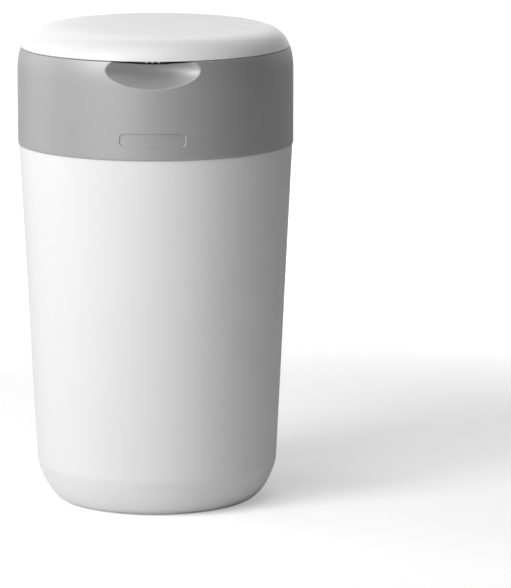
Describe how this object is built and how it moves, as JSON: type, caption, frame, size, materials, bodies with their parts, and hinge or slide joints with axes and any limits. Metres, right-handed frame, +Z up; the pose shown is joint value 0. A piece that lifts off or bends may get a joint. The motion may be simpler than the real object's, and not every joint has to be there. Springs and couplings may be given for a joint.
{
  "type": "nappy bin",
  "caption": "Round nappy bin with a tapered tub, a tilting top housing with a film cassette and twist ring, and a hinged lid over a finger scoop.",
  "frame": {"origin": "on the floor, under the middle of the bin", "axes": "+Z up along the bin's axis, -Y towards the front with the finger scoop, +X to the right seen from the front"},
  "size_m": [0.252, 0.252, 0.439],
  "materials": {
    "tub_white": "satin",
    "band_grey": "satin",
    "lid_white": "gloss",
    "holder_white": "satin",
    "clamp_grey": "satin",
    "ring_grey": "satin",
    "flap_white": "satin",
    "button_grey": "satin",
    "cassette_blue": "satin",
    "film": "gloss",
    "seal_rubber": "matte",
    "cutter_grip": "gloss",
    "steel": "polished",
    "spring_steel": "polished"
  },
  "bodies": {
    "tub": {"tub": "tub_white", "tilt_hinge_pin": "steel"},
    "housing": {"top_housing": "band_grey", "cassette_holder": "holder_white", "film_clamp_plate": "clamp_grey", "housing_screws": "steel", "clamp_screws": "steel", "lid_hinge_pin": "steel", "ratchet_pawl": "clamp_grey", "flap_pins": "steel", "flap_spring_front": "spring_steel", "flap_spring_back": "spring_steel", "flap_spring_left": "spring_steel", "flap_spring_right": "spring_steel", "release_spring_left": "spring_steel", "release_spring_right": "spring_steel"},
    "lid": {"lid_shell": "lid_white", "lid_liner": "holder_white", "seal_carrier": "holder_white", "lid_seal": "seal_rubber"},
    "rotor": {"twist_ring": "ring_grey", "cutter_rail": "ring_grey", "cassette_body": "cassette_blue", "cassette_cap": "cassette_blue", "film_pack": "film"},
    "cutter": {"cutter_slider": "cutter_grip", "cutter_blade": "steel"},
    "flap_front": {"flap_front": "flap_white"},
    "flap_back": {"flap_back": "flap_white"},
    "flap_left": {"flap_left": "flap_white"},
    "flap_right": {"flap_right": "flap_white"},
    "release_left": {"release_button_left": "button_grey"},
    "release_right": {"release_button_right": "button_grey"}
  },
  "joints": [
    {"name": "top_tilt", "type": "hinge", "parent": "tub", "child": "housing", "pos_m": [0, 0.1219, 0.327], "axis": [-1, 0, 0], "range_deg": [0, 75]},
    {"name": "lid_hinge", "type": "hinge", "parent": "housing", "child": "lid", "pos_m": [0, 0.119, 0.4115], "axis": [-1, 0, 0], "range_deg": [0, 95]},
    {"name": "twist", "type": "hinge", "parent": "housing", "child": "rotor", "pos_m": [0, 0, 0.4], "axis": [0, 0, 1], "continuous": true},
    {"name": "cutter_run", "type": "hinge", "parent": "rotor", "child": "cutter", "pos_m": [0, 0, 0.409], "axis": [0, 0, 1], "continuous": true},
    {"name": "flap_front_swing", "type": "hinge", "parent": "housing", "child": "flap_front", "pos_m": [0, -0.06, 0.314], "axis": [-1, 0, 0], "range_deg": [0, 75], "stiffness_Nm_per_rad": 0.02, "springref_deg": -17.19, "deforming": ["flap_spring_front"]},
    {"name": "flap_back_swing", "type": "hinge", "parent": "housing", "child": "flap_back", "pos_m": [0, 0.06, 0.314], "axis": [1, 0, 0], "range_deg": [0, 75], "stiffness_Nm_per_rad": 0.02, "springref_deg": -17.19, "deforming": ["flap_spring_back"]},
    {"name": "flap_left_swing", "type": "hinge", "parent": "housing", "child": "flap_left", "pos_m": [-0.06, 0, 0.314], "axis": [0, 1, 0], "range_deg": [0, 75], "stiffness_Nm_per_rad": 0.02, "springref_deg": -17.19, "deforming": ["flap_spring_left"]},
    {"name": "flap_right_swing", "type": "hinge", "parent": "housing", "child": "flap_right", "pos_m": [0.06, 0, 0.314], "axis": [0, -1, 0], "range_deg": [0, 75], "stiffness_Nm_per_rad": 0.02, "springref_deg": -17.19, "deforming": ["flap_spring_right"]},
    {"name": "release_left_press", "type": "slide", "parent": "housing", "child": "release_left", "axis": [1, 0, 0], "range_m": [0, 0.003], "stiffness_N_per_m": 400, "springref_m": -0.004, "deforming": ["release_spring_left"]},
    {"name": "release_right_press", "type": "slide", "parent": "housing", "child": "release_right", "axis": [-1, 0, 0], "range_m": [0, 0.003], "stiffness_N_per_m": 400, "springref_m": -0.004, "deforming": ["release_spring_right"]}
  ]
}
